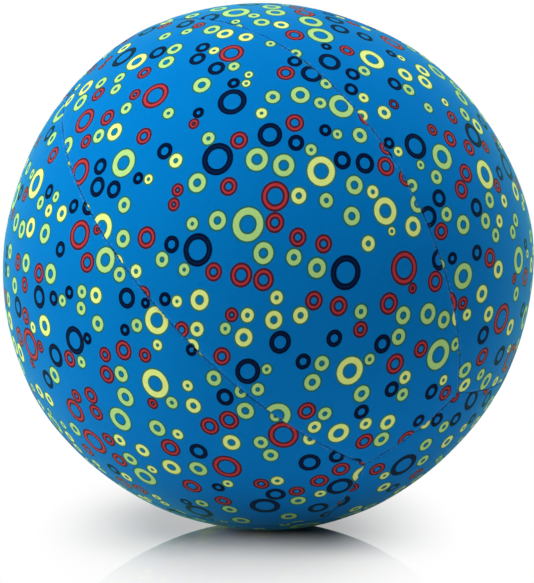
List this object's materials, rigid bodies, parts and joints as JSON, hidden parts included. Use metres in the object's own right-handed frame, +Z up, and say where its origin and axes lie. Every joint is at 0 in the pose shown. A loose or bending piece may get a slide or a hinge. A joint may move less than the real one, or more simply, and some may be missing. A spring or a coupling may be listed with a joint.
{
  "type": "balloon ball",
  "caption": "Light play ball: a printed cotton cover of gores and end caps with a flap over its mouth, blown up round by a tied latex balloon.",
  "frame": {"origin": "on the floor, under the middle of the ball's box as it rests", "axes": "+Z up from the floor; -Y towards the side that was pictured; +X to the right seen from there"},
  "size_m": [0.3014, 0.2996, 0.2989],
  "materials": {
    "printed_cotton": "matte",
    "latex": "satin"
  },
  "bodies": {
    "cover": {"gore_panel_1": "printed_cotton", "gore_panel_2": "printed_cotton", "gore_panel_3": "printed_cotton", "gore_panel_4": "printed_cotton", "gore_panel_5": "printed_cotton", "gore_panel_6": "printed_cotton", "front_end_cap": "printed_cotton", "rear_cap_over_half": "printed_cotton", "rear_cap_under_half": "printed_cotton", "balloon_body": "latex", "balloon_knot": "latex"},
    "flap": {"closing_flap": "printed_cotton"},
    "loose_end": {"balloon_tail": "latex"}
  },
  "joints": [
    {"name": "flap_hinge", "type": "hinge", "parent": "cover", "child": "flap", "pos_m": [-0.08411, 0.04137, 0.26748], "axis": [0.4462, 0.8949, 0], "range_deg": [0, 160]},
    {"name": "tail_swing", "type": "hinge", "parent": "cover", "child": "loose_end", "pos_m": [-0.09233, 0.04547, 0.25177], "axis": [-0.6069, 0.3026, 0.7349], "range_deg": [-25, 25]}
  ]
}
